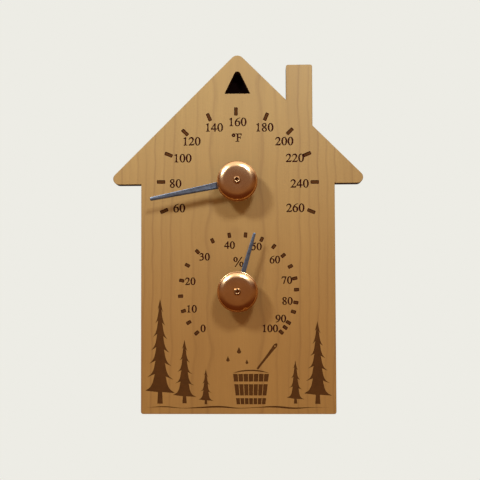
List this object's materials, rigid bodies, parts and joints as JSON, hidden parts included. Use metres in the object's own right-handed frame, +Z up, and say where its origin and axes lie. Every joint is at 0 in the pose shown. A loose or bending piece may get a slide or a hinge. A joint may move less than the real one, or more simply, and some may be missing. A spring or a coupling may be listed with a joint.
{
  "type": "sauna thermometer",
  "caption": "House-shaped wooden wall board with a bimetal thermometer and a hygrometer, each a coil and pointer under a domed copper cap.",
  "frame": {"origin": "axis of the nail in the rounded apex of the hanging hole, in the plane of the board's back", "axes": "+Z up along the height, +Y out of the back towards the wall, so the dials face -Y, +X to the right seen from the front"},
  "size_m": [0.1594, 0.0226, 0.2286],
  "materials": {
    "maple": "satin",
    "copper": "polished",
    "steel": "satin",
    "blued_steel": "satin",
    "brass": "satin",
    "bimetal": "satin",
    "laminate": "matte"
  },
  "bodies": {
    "board": {"house_board": "maple", "rivets": "copper", "back_washers": "steel", "front_washers": "brass", "cap_washers": "steel", "lug_rivets": "steel", "temperature_spacer": "brass", "temperature_sleeve": "steel", "temperature_bracket": "brass", "temperature_coil": "bimetal", "temperature_cap": "copper", "humidity_spacer": "brass", "humidity_sleeve": "steel", "humidity_bracket": "brass", "humidity_coil": "laminate", "humidity_cap": "copper"},
    "temperature_hand": {"temperature_hub": "brass", "temperature_pointer": "blued_steel"},
    "humidity_hand": {"humidity_hub": "brass", "humidity_pointer": "blued_steel"}
  },
  "joints": [
    {"name": "temperature_reading", "type": "hinge", "parent": "board", "child": "temperature_hand", "pos_m": [0, -0.018, -0.0702], "axis": [0, 1, 0], "range_deg": [-8.3, 210.7], "stiffness_Nm_per_rad": 0.008, "deforming": ["temperature_coil"]},
    {"name": "humidity_reading", "type": "hinge", "parent": "board", "child": "humidity_hand", "pos_m": [0, -0.018, -0.1392], "axis": [0, 1, 0], "range_deg": [-149.9, 116], "stiffness_Nm_per_rad": 0.004, "deforming": ["humidity_coil"]}
  ]
}
